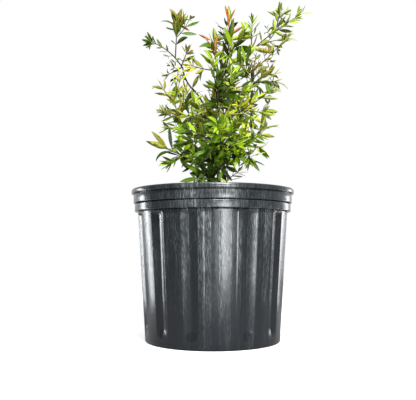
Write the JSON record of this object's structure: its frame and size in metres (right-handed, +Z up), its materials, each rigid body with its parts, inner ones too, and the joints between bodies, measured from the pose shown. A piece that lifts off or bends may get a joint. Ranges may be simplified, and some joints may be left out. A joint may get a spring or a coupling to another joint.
{
  "type": "potted pomegranate tree",
  "caption": "Young pomegranate tree: slender stems, boughs and airy masses of narrow leaves, standing in a ribbed black nursery pot filled with soil.",
  "frame": {"origin": "centre of the pot's flat underside, on the pot's axis", "axes": "+Z up along the pot's axis, -Y towards the front of the plant, +X to its right"},
  "size_m": [0.2963, 0.2656, 0.5646],
  "materials": {
    "pot_plastic": "satin black moulded plastic with dusty upright streaks and a soft shine on the bands",
    "potting_soil": "crumbly dark bark potting mix with white perlite specks, matt",
    "bark": "grey-brown young bark, lengthwise ridges, matt",
    "foliage": "smooth leaves with a soft gloss, mixed greens with yellow, orange and red young tips"
  },
  "bodies": {
    "root": {"pot": "pot_plastic", "soil_fill": "potting_soil", "trunk": "bark", "stem_left": "bark", "bough_left": "bark", "bough_right_high": "bark", "bough_right_middle": "bark", "bough_right_low": "bark", "bough_low_right": "bark", "bough_low_left": "bark", "bough_front": "bark", "bough_back": "bark", "foliage_top": "foliage", "foliage_top_left": "foliage", "foliage_upper_right": "foliage", "foliage_right_high": "foliage", "foliage_right_inner": "foliage", "foliage_right_middle": "foliage", "foliage_right_low": "foliage", "foliage_low_right": "foliage", "foliage_left": "foliage", "foliage_low_left": "foliage", "foliage_upper_left": "foliage", "foliage_foot": "foliage", "foliage_core_left": "foliage", "foliage_core_right": "foliage", "foliage_core_low": "foliage", "foliage_core_low_right": "foliage", "foliage_front_high": "foliage", "foliage_front_low": "foliage", "foliage_back_high": "foliage", "foliage_back_low": "foliage", "foliage_back_left": "foliage"}
  },
  "joints": []
}
